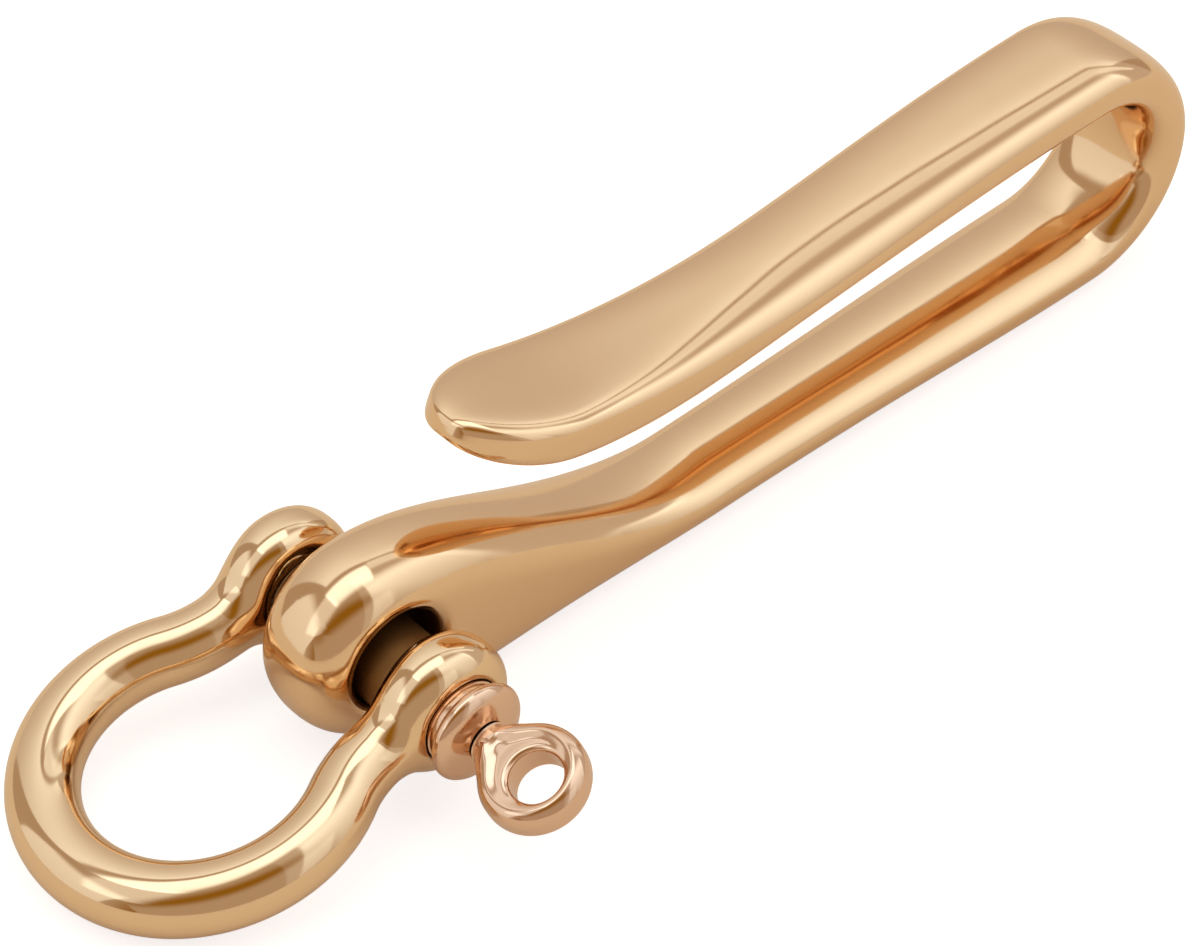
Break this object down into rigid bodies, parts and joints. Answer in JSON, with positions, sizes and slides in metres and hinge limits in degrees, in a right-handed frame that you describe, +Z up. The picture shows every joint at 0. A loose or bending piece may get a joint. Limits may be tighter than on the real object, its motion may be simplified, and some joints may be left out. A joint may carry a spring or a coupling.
{
  "type": "belt key clip",
  "caption": "Solid brass U-shaped belt hook with an eye that carries a swinging bow shackle, closed by a threaded pin, for hanging keys from a belt.",
  "frame": {"origin": "middle of the footprint of the clip as it lies on a table on its back arm, at table height", "axes": "+X along the hook from the shackle to the bend, +Y along the shackle's pin away from its flat head, +Z up from the back arm to the front arm"},
  "size_m": [0.1006, 0.0333, 0.0213],
  "materials": {
    "hook_brass": "polished",
    "shackle_brass": "polished",
    "pin_rose_brass": "polished"
  },
  "bodies": {
    "belt_hook": {"hook": "hook_brass"},
    "shackle": {"shackle_bow": "shackle_brass"},
    "pin": {"screw_pin": "pin_rose_brass"}
  },
  "joints": [
    {"name": "shackle_swing", "type": "hinge", "parent": "belt_hook", "child": "shackle", "pos_m": [-0.02388, 0.00407, 0.00647], "axis": [0, 1, 0], "range_deg": [-148, 148]},
    {"name": "pin_withdraw", "type": "slide", "parent": "shackle", "child": "pin", "axis": [0, -1, 0], "range_m": [0, 0.022]}
  ]
}
